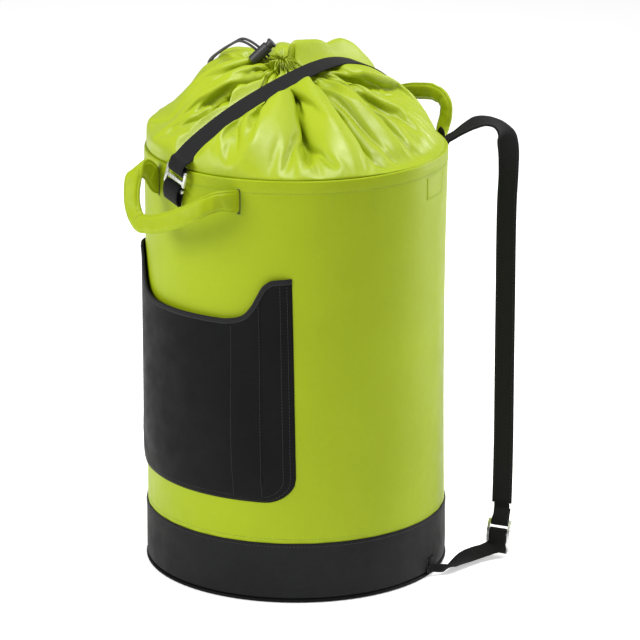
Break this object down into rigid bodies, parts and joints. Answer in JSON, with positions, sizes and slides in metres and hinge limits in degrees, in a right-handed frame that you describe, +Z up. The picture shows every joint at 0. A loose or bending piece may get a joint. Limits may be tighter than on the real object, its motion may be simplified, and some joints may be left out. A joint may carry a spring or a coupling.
{
  "type": "rope storage bag",
  "caption": "Upright cylindrical rope bag with a gathered drawcord collar, hooked closing strap, carry handles, front pocket and webbing shoulder straps.",
  "frame": {"origin": "centre of the flat underside of the base", "axes": "+Z up along the bag's axis to the gathered mouth; the front pocket, hook and front handle face -Y; the shoulder straps and rear handle are at +Y; +X is to the right seen from the front"},
  "size_m": [0.3938, 0.4511, 0.6155],
  "materials": {
    "lime_tarpaulin": "PVC coated polyester fabric, soft satin sheen",
    "black_tarpaulin": "PVC coated polyester fabric, satin, with a fine weave under the coating",
    "black_webbing": "woven polyester webbing, matt",
    "edge_tape": "plain woven binding tape",
    "cord": "braided polyester cord",
    "foam": "closed cell foam",
    "stiffener": "polyethylene sheet",
    "lining": "thin coated nylon lining",
    "plated_steel": "bright plated steel",
    "black_plastic": "moulded acetal"
  },
  "bodies": {
    "bag": {"wall_shell": "lime_tarpaulin", "rim_hem": "lime_tarpaulin", "collar": "lime_tarpaulin", "collar_hem": "lime_tarpaulin", "front_handle_tab_left": "lime_tarpaulin", "front_handle_tab_right": "lime_tarpaulin", "rear_handle_tab_left": "lime_tarpaulin", "rear_handle_tab_right": "lime_tarpaulin", "base_panel": "black_tarpaulin", "base_band": "black_tarpaulin", "pocket_panel": "black_tarpaulin", "base_piping": "black_tarpaulin", "closing_strap": "black_webbing", "hook_loop": "black_webbing", "strap_patch_right": "black_webbing", "strap_patch_left": "black_webbing", "base_tab_right": "black_webbing", "base_tab_left": "black_webbing", "rope_loop_top": "black_webbing", "rope_loop_bottom": "black_webbing", "pocket_binding": "edge_tape", "pocket_strip": "edge_tape", "drawcord_ring": "cord", "drawcord_tail_a": "cord", "drawcord_tail_b": "cord", "drawcord_knot": "cord", "wall_stiffener": "stiffener", "base_board": "stiffener", "rim_hoop": "stiffener", "wall_liner": "lining"},
    "front_handle": {"front_handle_grip": "lime_tarpaulin", "front_handle_core": "foam"},
    "rear_handle": {"rear_handle_grip": "lime_tarpaulin", "rear_handle_core": "foam"},
    "cord_lock": {"cord_lock_barrel": "black_plastic", "cord_lock_spring": "plated_steel"},
    "cord_lock_button": {"cord_lock_plunger": "black_plastic"},
    "hook": {"hook_buckle": "plated_steel"},
    "strap_right": {"shoulder_strap_right": "black_webbing", "strap_web_right": "black_webbing", "lower_strap_right": "black_webbing"},
    "strap_left": {"shoulder_strap_left": "black_webbing", "strap_web_left": "black_webbing", "lower_strap_left": "black_webbing"},
    "adjuster_right": {"adjuster_right": "plated_steel"},
    "adjuster_left": {"adjuster_left": "plated_steel"}
  },
  "joints": [
    {"name": "front_handle_swing", "type": "hinge", "parent": "bag", "child": "front_handle", "pos_m": [0.00873, -0.18179, 0.474], "axis": [-0.9988, -0.048, 0], "range_deg": [-40, 75]},
    {"name": "rear_handle_swing", "type": "hinge", "parent": "bag", "child": "rear_handle", "pos_m": [0, 0.182, 0.474], "axis": [1, 0, 0], "range_deg": [-145, 12]},
    {"name": "cord_lock_slide", "type": "slide", "parent": "bag", "child": "cord_lock", "axis": [-0.5007, -0.4867, 0.7158], "range_m": [0, 0.0065]},
    {"name": "cord_lock_press", "type": "slide", "parent": "cord_lock", "child": "cord_lock_button", "axis": [-0.5062, -0.5062, -0.6983], "range_m": [0, 0.004], "stiffness_N_per_m": 400, "springref_m": -0.003, "deforming": ["cord_lock_spring"]},
    {"name": "hook_rock", "type": "hinge", "parent": "bag", "child": "hook", "pos_m": [-0.00603, -0.18243, 0.49967], "axis": [0.9548, -0.0534, -0.2924], "range_deg": [-3.5, 3.5]},
    {"name": "strap_right_swing", "type": "hinge", "parent": "bag", "child": "strap_right", "pos_m": [0.172, 0.064, 0.006], "axis": [-0.1856, 0.1946, 0.9632], "range_deg": [-15, 28]},
    {"name": "strap_left_swing", "type": "hinge", "parent": "bag", "child": "strap_left", "pos_m": [-0.172, 0.064, 0.006], "axis": [-0.1856, -0.1946, -0.9632], "range_deg": [-15, 28]},
    {"name": "adjuster_right_tilt", "type": "hinge", "parent": "strap_right", "child": "adjuster_right", "pos_m": [0.18082, 0.16025, 0.04183], "axis": [0.9435, 0.3312, 0], "range_deg": [0, 25]},
    {"name": "adjuster_left_tilt", "type": "hinge", "parent": "strap_left", "child": "adjuster_left", "pos_m": [-0.18082, 0.16025, 0.04183], "axis": [0.9435, -0.3312, 0], "range_deg": [0, 25]}
  ]
}
